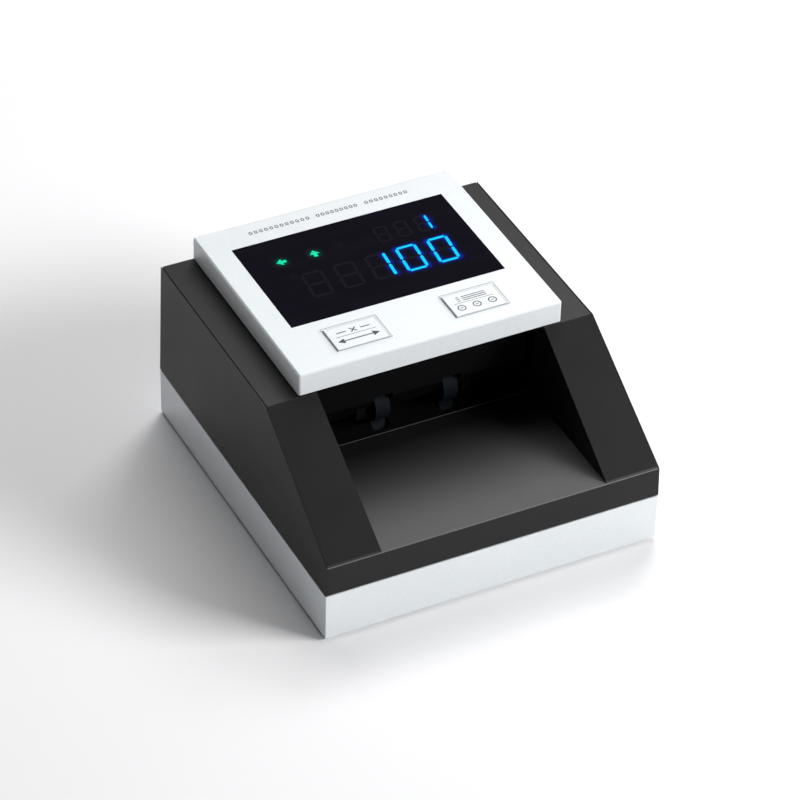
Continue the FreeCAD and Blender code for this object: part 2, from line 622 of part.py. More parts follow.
def drive_train():
    for word, station in STATIONS:
        rod(f"{word}_shaft", "X", (SHAFT_START, station, DRIVE_Z),
            f"chassis_x + shaft_tail - {SHAFT_START}", "shaft_radius")
        rollers(f"{word}_drive_rollers", station, DRIVE_Z, "shaft_radius")
        pulley(f"{word}_pulley", station, DRIVE_Z, "pulley_radius", "shaft_radius")
        rod(f"{word}_idler_axle", "X", ("axle_play - axle_half", station, IDLER_Z),
            "2 * (axle_half - axle_play)", "idler_axle_radius")
        rollers(f"{word}_idler_rollers", station, IDLER_Z, "idler_axle_radius")
    web = "(-chassis_x + chassis_thick / 2)"
    nose = f"({web} - chassis_thick - boss_proud)"
    can = rod("motor_can", "X", (web, "motor_y", "motor_z"), "motor_length", "motor_radius")
    boss = rod("motor_nose", "X", (nose, "motor_y", "motor_z"), f"{web} - {nose} + over", "motor_boss")
    well = rod("shaft_well", "X", (f"{nose} - over", "motor_y", "motor_z"), f"motor_well + {web} - {nose}",
               "motor_shaft_radius + running_gap")
    cut("drive_motor", fuse("motor_body", [can, boss]), [well])
    rod("motor_shaft", "X", (SHAFT_START, "motor_y", "motor_z"), "motor_shaft_length", "motor_shaft_radius")
    pulley("motor_pulley", "motor_y", "motor_z", "motor_pulley_radius", "motor_shaft_radius")


def belt_loop(offset):
    """The closed line round the three pulleys, seen along the shafts, at an offset from their faces."""
    drive_height = size(DRIVE_Z)
    circles = [(Vector(0, cell("motor_y"), cell("motor_z")), cell("motor_pulley_radius") + offset),
               (Vector(0, cell("rear_shaft_y"), drive_height), cell("pulley_radius") + offset),
               (Vector(0, cell("front_shaft_y"), drive_height), cell("pulley_radius") + offset)]
    count = len(circles)
    runs = []
    for index, (centre, radius) in enumerate(circles):
        other, other_radius = circles[(index + 1) % count]
        span_between = other - centre
        along = Vector(span_between).normalize()
        outward = Vector(0, along.z, -along.y)
        lean = (radius - other_radius) / span_between.Length
        normal = along * lean + outward * math.sqrt(1 - lean ** 2)
        runs.append((centre + normal * radius, other + normal * other_radius, normal))
    edges = []
    for index, (start, end, normal) in enumerate(runs):
        centre, radius = circles[(index + 1) % count]
        next_start, _, next_normal = runs[(index + 1) % count]
        middle = centre + (normal + next_normal).normalize() * radius
        edges += [Part.LineSegment(start, end).toShape(), Part.Arc(end, middle, next_start).toShape()]
    return Part.Wire(edges)


def drive_belt():
    across = Vector(cell("belt_width"), 0, 0)
    inner, outer = (Part.Face(belt_loop(cell("belt_gap") + thick)).extrude(across)
                    for thick in (0, cell("belt_thick")))
    belt = doc.addObject("Part::Feature", "drive_belt")
    belt.Shape = outer.cut(inner)
    place(belt, "-pulley_x - belt_width / 2", "0", "0")
    label(belt, "drive_belt")


# Blocks on the main board: middle x, middle y, half width, half depth and height.
BOARD_BLOCKS = {
    "controller": (0, -31, 9, 9, 1.6), "memory": (21, -27, 5, 3, 1.4), "power_coil": (35, 41, 5, 5, 5),
    "display_header": (-8, 46.5, 12, 2.5, 6), "sensor_header": (24, 8.5, 12, 2.5, 6),
}
# Round capacitors: x, y, radius and height.
BOARD_CANS = {"main_capacitor": (34, 24, 4, 9.8), "small_capacitor": (24, 28, 3, 9.8)}


def main_board():
    top = "(main_board_z + board_thick)"
    solder = f"({top} - solder_depth)"
    parts = [box("main_plate", span("0", "main_half_width"), span("0", "main_half_depth"),
                 ("main_board_z", top))]
    for name, (x, y, half_x, half_y, height) in BOARD_BLOCKS.items():
        parts.append(box(name, span(x, half_x), span(y, half_y), (solder, f"{top} + {height}")))
    for name, (x, y, radius, height) in BOARD_CANS.items():
        parts.append(rod(name, "Z", (x, y, solder), f"{height} + solder_depth", radius))
    holes = []
    posts = []
    screws = []
    shank_low = f"({FLOOR_TOP} + screw_tip)"
    for spot in four_spots("standoff_x", "-standoff_y", "standoff_y"):
        holes.append(rod("board_hole", "Z", (*spot, "main_board_z - over"), "board_thick + 2 * over",
                         "screw_radius + screw_room"))
        post = rod("post", "Z", (*spot, FLOOR_TOP), f"main_board_z - {FLOOR_TOP}", "standoff_radius")
        bore = rod("post_bore", "Z", (*spot, f"{FLOOR_TOP} + fit_gap"), "main_board_z", "screw_radius")
        posts.append(cut("standoff", post, [bore]))
        screws.append(screw("board_screw", spot, top, shank_low, f"{top} + screw_tip"))
    cut("main_board", fuse("populated_board", parts), holes)
    group("board_standoffs", posts)
    group("board_screws", screws)
    rod("buzzer", "Z", ("buzzer_x", "buzzer_y", top), "buzzer_height", "buzzer_radius")


# ---------------------------------------------------------------- hinged lid

HOUSING_SCREWS = four_spots("housing_screw_x", "housing_screw_front", "housing_screw_rear")
CONSOLE_SCREWS = four_spots("console_screw_x", "console_screw_front", "console_screw_rear")


def top_cover():
    """The lid: a flat panel with a notch over the feed opening and a hollow hinge barrel at the rear."""
    def front_top(p):
        return near(p.y, size(front)) and near(p.z, size(SHELL_TOP))

    body = new_body("lid_shell")
    front = f"({SLOPE_TOP_Y} + joint_gap)"
    half = half_at(SHELL_TOP, "seam_lip + seam_gap")
    corners = [(front, LID_LOW), (REAR, LID_LOW), (REAR, SHELL_TOP), (front, SHELL_TOP)]
    line = outline(body, "lid_line", "YZ_Plane", f"-{half}", corners)
    panel = pad(body, "lid_panel", line, f"2 * {half}")
    soften_body(body, "lid_edge", panel, front_top, "edge_break", "PartDesign::Chamfer")
    ends = span("0", "barrel_half")
    under = (HINGE_Z, f"{LID_LOW} + over")
    solids = [body,
              rod("hinge_barrel", "X", (ends[0], HINGE_Y, HINGE_Z), "2 * barrel_half", "barrel_radius"),
              box("barrel_corner", ends, (HINGE_Y, REAR), under),
              box("barrel_web", ends, (f"{HINGE_Y} - web_run", HINGE_Y), under)]
    through = (f"{LID_LOW} - over", f"{SHELL_TOP} + over")
    openings = [box("barrel_core", span("0", "barrel_half - pin_grip - pin_wall"), span(HINGE_Y, "core_half"),
                    (f"{HINGE_Z} - barrel_radius - over", f"{LID_LOW} - over")),
                box("wire_pass", span("0", "wire_half"), ("wire_front", "wire_rear"), through),
                box("feed_notch", span("0", "tray_width / 2 + tray_flare / 2"),
                    (f"{front} - over", f"{CONSOLE_FRONT} + notch_depth"), through)]
    for side, _ in SIDES:
        start = "-barrel_half - over" if side < 0 else "barrel_half - pin_grip - axle_play"
        openings.append(rod("barrel_bore", "X", (start, HINGE_Y, HINGE_Z), "pin_grip + axle_play + over",
                            "pin_radius + running_gap"))
    for spot in HOUSING_SCREWS:
        openings.append(rod("lid_screw_hole", "Z", (*spot, f"{LID_LOW} - over"), "lid_thick + over",
                            "screw_radius + screw_room"))
        openings.append(rod("lid_head_room", "Z", (*spot, f"{SHELL_TOP} - head_height - screw_room"),
                            "head_height + over", "head_radius + screw_room"))
    for spot in CONSOLE_SCREWS:
        openings.append(rod("console_screw_hole", "Z", (*spot, f"{LID_LOW} - over"), "lid_thick + 2 * over",
                            "screw_radius + screw_room"))
    cut("top_cover", fuse("lid_blank", solids), openings)
    reach = half_at(HINGE_Z, "seam_lip")
    inner = "(barrel_half - pin_grip)"
    group("hinge_pins", [rod("hinge_pin", "X", (start, HINGE_Y, HINGE_Z), f"{reach} - {inner}", "pin_radius")
                         for start in (f"-{reach}", inner)])


def upper_housing():
    """The hollow roof of the note channel, with bearings for the idlers and columns for its screws."""
    body = new_body("housing_shell")
    low = HOUSING_LOW
    floor = f"({low} + housing_wall)"
    top = f"({LID_LOW} + over)"
    front_wall = "housing_front + housing_wall"
    rear_wall = "housing_rear - housing_wall"
    outside = [("housing_front", "housing_lip"), ("housing_chin_y", "housing_chin_z"),
               ("housing_flat_y", low), ("housing_rear", low), ("housing_rear", LID_LOW),
               ("housing_front", LID_LOW)]
    inside = [(front_wall, "housing_lip + lip_wall"),
              ("housing_chin_y + chin_wall", "housing_chin_z + housing_wall"), ("housing_flat_y", floor),
              (rear_wall, floor), (rear_wall, top), (front_wall, top)]
    block = outline(body, "housing_line", "YZ_Plane", "-housing_half", outside)
    pad(body, "housing_block", block, "2 * housing_half")
    hollow = outline(body, "hollow_line", "YZ_Plane", "-housing_half + housing_wall", inside)
    pocket(body, "housing_hollow", hollow, "2 * (housing_half - housing_wall)", reverse=True)
    ribs = []
    slot_z = (f"{low} - 2 * over", f"{IDLER_Z} + roller_radius + roller_room")
    openings = roller_slots(("housing_front - over", slot_run("front_shaft_y")[1]), slot_z)
    openings += roller_slots(slot_run("rear_shaft_y"), slot_z)
    for _, station in STATIONS:
        for side, _ in SIDES:
            ribs.append(box("axle_rib", ordered(f"{side} * axle_room", f"{side} * axle_half"),
                            span(station, "rib_half"), (f"{floor} - screw_tip", f"{IDLER_Z} + rib_half")))
        openings.append(rod("axle_clearance", "X", ("-axle_room", station, IDLER_Z), "2 * axle_room",
                            "idler_axle_radius + axle_clear"))
        openings.append(rod("axle_bearing", "X", ("-axle_half", station, IDLER_Z), "2 * axle_half",
                            "idler_axle_radius + running_gap"))
    column_low = f"({LID_LOW} - column_height)"
    for x, y in HOUSING_SCREWS:
        wall = "housing_half - over" if size(x) > 0 else "over - housing_half"
        ribs.append(rod("screw_column", "Z", (x, y, column_low), "column_height", "column_radius"))
        ribs.append(box("column_web", ordered(x, wall), span(y, "over"), (column_low, LID_LOW)))
        openings.append(rod("column_bore", "Z", (x, y, f"{LID_LOW} - column_bore"), "column_bore + over",
                            "screw_radius + thread_fit"))
    through = (f"{low} - over", f"{floor} + over")
    openings += pane_seat("upper", "upper_pane_y", "upper_pane_half",
                          (f"{low} - over", f"{low} + pane_thick"), through)
    heads = []
    for step in (-1, 0, 1):
        middle = f"{step} * head_pitch"
        heads.append(box("magnetic_head", span(middle, "magnet_half"), span("head_y", "magnet_depth"),
                         (f"{low} + screw_room", f"{low} + screw_room + magnet_height")))
        openings.append(box("head_opening", span(middle, "magnet_half + screw_room"),
                            span("head_y", "magnet_depth + screw_room"), through))
    cut("upper_housing", fuse("housing_with_ribs", [body] + ribs), openings)
    group("magnetic_heads", heads)
    sensor_pane("upper_sensor_window", "upper_pane_y", "upper_pane_half", low)
    board_low = f"({low} + upper_board_rise)"
    sensor_board("upper_sensor_board", "upper_pane_y", "upper_pane_half", board_low,
                 (f"{low} + pane_thick + 2 * diode_gap", f"{board_low} + solder_depth"),
                 (floor, f"{board_low} + solder_depth"))
    head_low = f"({SHELL_TOP} - head_height)"
    group("housing_screws", [screw("housing_screw", spot, head_low, f"{LID_LOW} - housing_screw_length",
                                   f"{head_low} + screw_tip") for spot in HOUSING_SCREWS])


# ---------------------------------------------------------------- console

WINDOW_X = span("0", "window_width / 2")
WINDOW_Y = span("window_y", "window_depth / 2")


def shrunk(stretch, inset):
    """A stretch drawn in at both ends."""
    return f"{stretch[0]} + {inset}", f"{stretch[1]} - {inset}"


def console():
    def outer_side(p):
        return near(abs(p.x), cell("console_width") / 2)

    def outer_end(p):
        return near(p.y, size(CONSOLE_FRONT)) or near(p.y, size(CONSOLE_REAR))

    def rounded(p):
        on_top = near(p.z, size(CONSOLE_TOP))
        return (on_top and (outer_side(p) or outer_end(p))) or (outer_side(p) and outer_end(p))

    across = span("0", "console_width / 2")
    along = (CONSOLE_FRONT, CONSOLE_REAR)
    block = box("console_block", across, along, (CONSOLE_LOW, CONSOLE_TOP))
    outside = soften("console_rounded", block, rounded, "console_round")
    hollow = box("console_hollow", shrunk(across, "console_wall"), shrunk(along, "console_wall"),
                 (f"{CONSOLE_LOW} - over", CONSOLE_ROOF))
    shell = cut("console_shell", outside, [hollow])
    glass_low = f"({CONSOLE_TOP} - window_thick)"
    above = f"{CONSOLE_TOP} + over"
    through = (f"{CONSOLE_ROOF} - over", above)
    openings = [box("window_rebate", WINDOW_X, WINDOW_Y, (glass_low, above)),
                box("window_through", shrunk(WINDOW_X, "window_ledge"), shrunk(WINDOW_Y, "window_ledge"),
                    through)]
    openings += [box("key_opening", span(f"{side} * key_x", "key_width / 2 + key_gap"),
                     span("key_y", "key_depth / 2 + key_gap"), through) for side, _ in SIDES]
    bosses = []
    screws = []
    for spot in CONSOLE_SCREWS:
        bosses.append(rod("boss", "Z", (*spot, SHELL_TOP), f"{CONSOLE_ROOF} - {SHELL_TOP} + solder_depth",
                          "console_boss"))
        openings.append(rod("boss_bore", "Z", (*spot, f"{SHELL_TOP} - over"), "console_screw_length",
                            "screw_radius + thread_fit"))
        screws.append(screw("console_screw", spot, f"{LID_LOW} - head_height", f"{LID_LOW} - screw_tip",
                            f"{LID_LOW} + console_screw_length"))
    cut("console_plate", fuse("console_with_bosses", [shell] + bosses), openings)
    group("console_screws", screws)
    box("display_window", shrunk(WINDOW_X, "window_fit"), shrunk(WINDOW_Y, "window_fit"),
        (glass_low, CONSOLE_TOP))


def console_base():
    """The tray that closes the console from below and props up its board."""
    inset = "(console_wall + fit_gap)"
    tray_top = f"({SHELL_TOP} + tray_thick)"
    tray = box("console_tray", span("0", f"console_width / 2 - {inset}"),
               shrunk((CONSOLE_FRONT, CONSOLE_REAR), inset), (SHELL_TOP, tray_top))
    through = (f"{SHELL_TOP} - over", f"{tray_top} + over")
    notches = [rod("boss_notch", "Z", (*spot, through[0]), "tray_thick + 2 * over", "console_boss + fit_gap")
               for spot in CONSOLE_SCREWS]
    notches.append(box("tray_wire_pass", span("0", "wire_half"), ("wire_front", "wire_rear"), through))
    props = [rod("display_prop", "Z", (*spot, f"{tray_top} - screw_tip"),
                 "display_lift - tray_thick + screw_tip", "prop_radius")
             for spot in four_spots("prop_x", "prop_front", "prop_rear")]
    fuse("console_base", [cut("console_floor", tray, notches)] + props)


# Digit modules: middle x, middle y, width and depth.
DIGITS = ((2.6, 28.0, 12.0, 19.0), (15.6, 28.0, 12.0, 19.0), (28.9, 28.0, 12.0, 19.0),
          (30.0, 46.2, 8.0, 12.0))
LAMPS = ((-30.5, 46.0), (-16.8, 45.8), (-5.9, 46.6), (-30.5, 36.1))


def display():
    box("display_board", span("0", "display_half"), ("display_front", "display_rear"),
        (f"{SHELL_TOP} + display_lift", DISPLAY_TOP))
    group("digit_modules", [box("digit_module", span(x, width / 2), span(y, depth / 2),
                                (DISPLAY_TOP, f"{DISPLAY_TOP} + module_height"))
                            for x, y, width, depth in DIGITS])
    group("indicator_lamps", [rod("indicator_lamp", "Z", (x, y, DISPLAY_TOP), "module_height", "lamp_radius")
                              for x, y in LAMPS])


def key(name, middle):
    """A key cap with a flange under the console's top, which stops it from coming out."""
    def crown(p):
        return near(p.z, size(CONSOLE_TOP) + cell("key_proud"))

    cap = box(f"{name}_cap", span(middle, "key_width / 2"), span("key_y", "key_depth / 2"),
              (f"{FLANGE_TOP} - flange_drop", f"{CONSOLE_TOP} + key_proud"))
    flange = box(f"{name}_flange", span(middle, "key_width / 2 + key_flange"),
                 span("key_y", "key_depth / 2 + key_flange"), (f"{FLANGE_TOP} - flange_height", FLANGE_TOP))
    fuse(name, [soften(f"{name}_cap_soft", cap, crown, "edge_break"), flange])


def keys():
    switches = []
    for side, word in SIDES:
        middle = f"{side} * key_x"
        body = box("switch_body", span(middle, "switch_half"), span("key_y", "switch_half"),
                   (DISPLAY_TOP, f"{DISPLAY_TOP} + switch_height"))
        plunger = rod("switch_plunger", "Z", (middle, "key_y", f"{DISPLAY_TOP} + screw_tip"),
                      "plunger_rise - screw_tip", "plunger_radius")
        switches.append(fuse("key_switch", [body, plunger]))
        key(f"{word}_key", middle)
    group("key_switches", switches)


# ---------------------------------------------------------------- build and write

NODES = [
    "base_frame", "bottom_plate", "bottom_screws", "rubber_feet", "left_side_panel", "right_side_panel",
    "front_shell", "rear_cover", "power_inlet", "data_port", "power_switch", "power_rocker", "note_deck",
    "lower_sensor_window", "lower_sensor_board", "left_chassis_plate", "right_chassis_plate", "shaft_bushes",
    "front_shaft", "front_drive_rollers", "front_pulley", "rear_shaft", "rear_drive_rollers", "rear_pulley",
    "drive_motor", "motor_shaft", "motor_pulley", "drive_belt", "main_board", "board_standoffs",
    "board_screws", "buzzer", "front_idler_axle", "front_idler_rollers", "rear_idler_axle",
    "rear_idler_rollers", "top_cover", "hinge_pins", "upper_housing", "upper_sensor_window",
    "upper_sensor_board", "magnetic_heads",
    "housing_screws", "console_plate", "console_screws", "display_window", "console_base", "display_board",
    "digit_modules", "indicator_lamps", "key_switches", "left_key", "right_key",
]


def main():
    base_frame()
    bottom_cover()
    for side, word in SIDES:
        side_panel(f"{word}_side_panel", side)
    front_shell()
    rear_cover()
    power_inlet()
    data_port()
    rear_switch()
    note_deck()
    chassis()
    drive_train()
    drive_belt()
    main_board()
    top_cover()
    upper_housing()
    console()
    console_base()
    display()
    keys()
    doc.recompute()
    for item in doc.Objects:
        if {"Invalid", "Error"} & set(item.State):
            raise RuntimeError(f"{item.Label} failed: {item.State}")
    os.makedirs("parts", exist_ok=True)
    for name in NODES:
        shape = doc.getObjectsByLabel(name)[0].Shape
        if shape.isNull() or not shape.isValid():
            raise RuntimeError(f"{name} has no valid shape")
        shape.exportStep(f"parts/{name}.step")
        print(f"{name:24s} solids {len(shape.Solids):2d}  volume {shape.Volume:10.1f}")


main()
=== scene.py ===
"""Looks of the counterfeit bill detector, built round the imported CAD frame.

Lengths are metres on the CAD's own axes. Prints are drawn in millimetres on the same axes.
"""
import json
import math

import bmesh
import bpy
from mathutils import Matrix, Vector


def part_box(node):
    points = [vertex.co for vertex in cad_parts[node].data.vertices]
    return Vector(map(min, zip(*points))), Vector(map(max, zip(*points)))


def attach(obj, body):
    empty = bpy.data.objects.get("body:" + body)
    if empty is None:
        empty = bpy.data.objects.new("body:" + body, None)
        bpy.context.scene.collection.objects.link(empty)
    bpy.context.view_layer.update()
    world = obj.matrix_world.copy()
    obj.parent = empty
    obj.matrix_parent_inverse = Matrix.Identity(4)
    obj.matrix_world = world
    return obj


MM = 0.001
FLAT = 0.02 * MM  # thickness of a print, and the height of the display sheet above the window
DECK_RAIL = 10.0 * MM  # height of the note deck's side rails above its face
DECK_RISE = 0.6 * MM  # the note deck's face above the band's top edge
TRAY_HALF = 46.3 * MM  # half the width of the tray floor
# Painted light on the tray floor, and painted highlights along the band's and the deck's front edges:
FLOOR_LEAD = 0.35 * MM  # where the tray floor's painted light starts, behind the front
FLOOR_REACH = 1.2 * MM  # how deep below the deck's face the painted light reaches
LIGHT_POOL_FULL = 26.0 * MM  # how far in from the front the tray floor's painted light is full
LIGHT_POOL_END = 6.0 * MM  # how far before the deck the painted light ends
PAINTED_MASK_SOFT = 0.1 * MM
BAND_HIGHLIGHT = (0.05 * MM, 0.27 * MM)  # the painted highlight's strip: from and to, behind the front and below the band's top edge
BAND_HIGHLIGHT_SOFT = 0.06 * MM
DECK_EDGE_HIGHLIGHT = 0.2 * MM  # width of the painted highlight along the deck's front edge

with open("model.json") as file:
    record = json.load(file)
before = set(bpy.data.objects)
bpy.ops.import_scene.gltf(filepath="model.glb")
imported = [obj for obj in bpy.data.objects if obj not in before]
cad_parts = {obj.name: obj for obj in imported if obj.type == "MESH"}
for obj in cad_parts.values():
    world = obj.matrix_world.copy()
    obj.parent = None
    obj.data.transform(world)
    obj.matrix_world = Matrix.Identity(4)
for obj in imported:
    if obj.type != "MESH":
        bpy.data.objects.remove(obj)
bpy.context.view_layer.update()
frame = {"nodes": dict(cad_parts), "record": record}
nodes = frame["nodes"]


# ---------------------------------------------------------------- materials

class Surface:
    """A Principled material with short calls for the node chains that the finishes share."""

    COAT_ROUGHNESS = 0.1
    MIX_INPUTS, MIX_OUTPUT = (6, 7), 2  # the Mix node's colour sockets, which share names with others

    def __init__(self, name, color, roughness, metallic=0.0, specular=0.5, coat=0.0):
        self.material = bpy.data.materials.new(name)
        self.material.use_nodes = True
        self.tree = self.material.node_tree
        self.shader = self.tree.nodes["Principled BSDF"]
        self.put(self.shader, "Base Color", (*color, 1.0))
        self.put(self.shader, "Roughness", roughness)
        self.put(self.shader, "Metallic", metallic)
        self.put(self.shader, "Specular IOR Level", specular)
        self.put(self.shader, "Coat Weight", coat)
        self.put(self.shader, "Coat Roughness", self.COAT_ROUGHNESS)
        self.material.diffuse_color = (*color, 1.0)

    @staticmethod
    def put(node, socket, value):
        node.inputs[socket].default_value = value

    def feed(self, source, socket):
        """Drives one of the shader's sockets from a node."""
        self.tree.links.new(source, self.shader.inputs[socket])

    def node(self, kind, **values):
        """A new node, its sockets set or linked by name, with _ for a space."""
        item = self.tree.nodes.new(kind)
        for socket, value in values.items():
            if isinstance(value, bpy.types.NodeSocket):
                self.tree.links.new(value, item.inputs[socket.replace("_", " ")])
            else:
                self.put(item, socket.replace("_", " "), value)
        return item

    def place(self, stretch=(1.0, 1.0, 1.0)):
        """Object coordinates, stretched for grain that runs one way."""
        coordinates = self.tree.nodes.new("ShaderNodeTexCoord")
        mapping = self.node("ShaderNodeMapping", Scale=stretch)
        self.tree.links.new(coordinates.outputs["Object"], mapping.inputs["Vector"])
        return mapping.outputs["Vector"]

    def noise(self, size, detail, stretch=(1.0, 1.0, 1.0)):
        """Noise whose features are about one size across, in metres."""
        item = self.node("ShaderNodeTexNoise", Vector=self.place(stretch), Scale=1.0 / size,
                         Detail=detail)
        return item.outputs["Fac"]

    def ramp(self, source, low, high, start=0.3, end=0.7):
        item = self.tree.nodes.new("ShaderNodeMapRange")
        self.tree.links.new(source, item.inputs["Value"])
        limits = {"From Min": start, "From Max": end, "To Min": low, "To Max": high}
        for socket, value in limits.items():
            self.put(item, socket, value)
        return item.outputs["Result"]

    def mix(self, factor, first, second):
        item = self.tree.nodes.new("ShaderNodeMix")
        item.data_type = "RGBA"
        self.tree.links.new(factor, item.inputs["Factor"])
        for socket, value in zip(self.MIX_INPUTS, (first, second)):
            if isinstance(value, bpy.types.NodeSocket):
                self.tree.links.new(value, item.inputs[socket])
            else:
                item.inputs[socket].default_value = (*value, 1.0)
        return item.outputs[self.MIX_OUTPUT]

    def times(self, first, second):
        item = self.tree.nodes.new("ShaderNodeMath")
        item.operation = "MULTIPLY"
        self.tree.links.new(first, item.inputs[0])
        self.tree.links.new(second, item.inputs[1])
        return item.outputs[0]

    def tint(self, source, first, second, start=0.3, end=0.7):
        """Base colour that wanders between two colours."""
        self.feed(self.mix(self.ramp(source, 0.0, 1.0, start, end), first, second), "Base Color")

    def vary_roughness(self, source, low, high):
        self.feed(self.ramp(source, low, high), "Roughness")

    def bump(self, source, depth, strength):
        item = self.node("ShaderNodeBump", Height=source, Distance=depth, Strength=strength)
        self.feed(item.outputs["Normal"], "Normal")

    def glow(self, color, strength):
        self.put(self.shader, "Emission Color", (*color, 1.0))
        self.put(self.shader, "Emission Strength", strength)


def shade(color, factor):
    return tuple(channel * factor for channel in color)


def silver_paint():
    """Fine silver paint: pale, with flake sparkle and a slight orange-peel."""
    color = (0.66, 0.69, 0.71)
    surface = Surface("silver_paint", color, 0.38, metallic=0.12, specular=0.3)
    surface.tint(surface.noise(0.0005, 2.0), shade(color, 0.96), shade(color, 1.03))
    surface.vary_roughness(surface.noise(0.010, 4.0), 0.33, 0.42)
    surface.bump(surface.noise(0.00035, 2.0), 0.000010, 0.25)
    return surface


def inside_box(surface, low, high, soft):
    """1 inside a box of the object's own coordinates and 0 outside, with a soft edge."""
    split = surface.node("ShaderNodeSeparateXYZ", Vector=surface.place())
    factor = None
    for axis, bottom, top in zip("XYZ", low, high):
        for start, end in ((bottom - soft, bottom), (top + soft, top)):
            step = surface.ramp(split.outputs[axis], 0.0, 1.0, start, end)
            factor = step if factor is None else surface.times(factor, step)
    return factor


def black_shell():
    """Spark-textured black moulding, with painted light on the tray floor that fades out towards the
    deck, and a painted highlight along the band's edge.
    """
    surface = Surface("black_shell", (0.006, 0.0058, 0.0066), 0.45, specular=0.25)
    cloud = surface.noise(0.018, 5.0)
    moulded = surface.mix(cloud, (0.0048, 0.0046, 0.0054), (0.0070, 0.0068, 0.0078))
    # painted light: a pale grey for the lit front of the tray floor
    light_pool = surface.mix(surface.noise(0.0011, 3.0), (0.044, 0.044, 0.044), (0.056, 0.056, 0.056))
    deck_low, deck_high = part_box("note_deck")
    shell_low, shell_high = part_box("front_shell")
    floor_z = deck_high.z - DECK_RAIL
    floor = inside_box(surface, (-TRAY_HALF, shell_low.y + FLOOR_LEAD, floor_z - FLOOR_REACH),
                       (TRAY_HALF, deck_low.y, floor_z), PAINTED_MASK_SOFT)
    split = surface.node("ShaderNodeSeparateXYZ", Vector=surface.place())
    # the painted light fades out towards the deck, where the console shades the floor
    light_pool_fade = surface.ramp(split.outputs["Y"], 1.0, 0.0, shell_low.y + LIGHT_POOL_FULL, deck_low.y - LIGHT_POOL_END)
    color = surface.mix(surface.times(floor, light_pool_fade), moulded, light_pool)
    band_z = floor_z - DECK_RISE
    # painted highlight: a pale line along the band's top edge, where the edge catches the light
    band = inside_box(surface, (shell_low.x, shell_low.y + BAND_HIGHLIGHT[0], band_z - BAND_HIGHLIGHT[1]),
                      (shell_high.x, shell_low.y + BAND_HIGHLIGHT[1], band_z), BAND_HIGHLIGHT_SOFT)
    color = surface.mix(band, color, (0.10, 0.10, 0.105))
    surface.feed(color, "Base Color")
    surface.vary_roughness(cloud, 0.435, 0.465)
    surface.bump(surface.noise(0.00022, 2.0), 0.000018, 0.45)
    return surface


def black_internal():
    """Dull black moulding, darkened further as painted shade for the inside of the housing, with a
    painted highlight along the deck's front edge.
    """
    surface = Surface("black_internal", (0.0022, 0.0022, 0.0028), 0.6, specular=0.06)
    # its own black, darkened further as painted shade for the deep inside of the housing
    plain = surface.mix(surface.noise(0.012, 3.0), (0.0014, 0.0014, 0.0020),
                        (0.0030, 0.0030, 0.0036))
    low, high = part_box("note_deck")
    top = high.z - DECK_RAIL
    edge = inside_box(surface, (low.x, low.y, top - DECK_EDGE_HIGHLIGHT),
                      (high.x, low.y + DECK_EDGE_HIGHLIGHT, top), PAINTED_MASK_SOFT)
    # painted highlight: a pale line along the deck's front edge, where the edge catches the light
    color = surface.mix(edge, plain, (0.042, 0.042, 0.042))
    surface.feed(color, "Base Color")
    surface.bump(surface.noise(0.0003, 2.0), 0.00002, 0.4)
    return surface


def rubber(name, color, specular=0.2):
    surface = Surface(name, color, 0.72, specular=specular)
    cloud = surface.noise(0.003, 4.0)
    surface.tint(cloud, shade(color, 0.8), shade(color, 1.2))
    surface.bump(surface.noise(0.0004, 3.0), 0.00004, 0.5)
    return surface


def drawn_steel(name="drawn_steel", color=(0.56, 0.57, 0.59), roughness=0.3):
    """Bright metal with fine lines along its width, as turned shafts and drawn cans show."""
    surface = Surface(name, color, roughness, metallic=1.0)
    lines = surface.noise(0.0006, 3.0, stretch=(0.05, 1.0, 1.0))
    surface.tint(lines, shade(color, 0.85), shade(color, 1.08))
    surface.vary_roughness(lines, roughness - 0.06, roughness + 0.12)
    surface.bump(lines, 0.000008, 0.4)
    return surface


def bronze():
    surface = Surface("bronze", (0.48, 0.33, 0.16), 0.42, metallic=1.0)
    pores = surface.noise(0.0004, 4.0)
    surface.tint(pores, (0.40, 0.27, 0.13), (0.54, 0.38, 0.19))
    surface.bump(pores, 0.00001, 0.5)
    return surface


def acetal():
    surface = Surface("white_acetal", (0.78, 0.78, 0.74), 0.4)
    surface.tint(surface.noise(0.004, 3.0), (0.74, 0.74, 0.70), (0.82, 0.82, 0.78))
    surface.bump(surface.noise(0.0005, 2.0), 0.00001, 0.3)
    return surface


def circuit_board():
    """Green solder resist over copper runs, which a stepped noise draws as tracks."""
    surface = Surface("circuit_board", (0.012, 0.10, 0.045), 0.32, coat=0.4)
    tracks = surface.noise(0.004, 0.0, stretch=(1.0, 0.25, 1.0))
    surface.tint(tracks, (0.008, 0.075, 0.034), (0.025, 0.15, 0.07), 0.49, 0.51)
    surface.bump(tracks, 0.00003, 0.3)
    return surface


def component_black():
    surface = Surface("component_black", (0.02, 0.02, 0.021), 0.4)
    cloud = surface.noise(0.003, 3.0)
    surface.tint(cloud, (0.016, 0.016, 0.017), (0.026, 0.026, 0.028))
    surface.bump(surface.noise(0.0003, 2.0), 0.00001, 0.4)
    return surface


def green_lens():
    surface = Surface("green_lens", (0.02, 0.30, 0.18), 0.2)
    surface.tint(surface.noise(0.002, 2.0), (0.015, 0.24, 0.14), (0.03, 0.36, 0.22))
    return surface


DARK_GLASS = (0.0053, 0.0049, 0.0078)
GLASS = {"roughness": 0.08, "specular": 0.02}  # the figures behind the sheet show its gloss too


def smoked_acrylic(name, color):
    """Polished dark sheet with faint wipe marks in its gloss."""
    surface = Surface(name, color, **GLASS)
    wipes = surface.noise(0.02, 4.0, stretch=(1.0, 3.0, 1.0))
    surface.tint(wipes, shade(color, 0.9), shade(color, 1.15))
    surface.vary_roughness(wipes, 0.05, 0.11)
    return surface


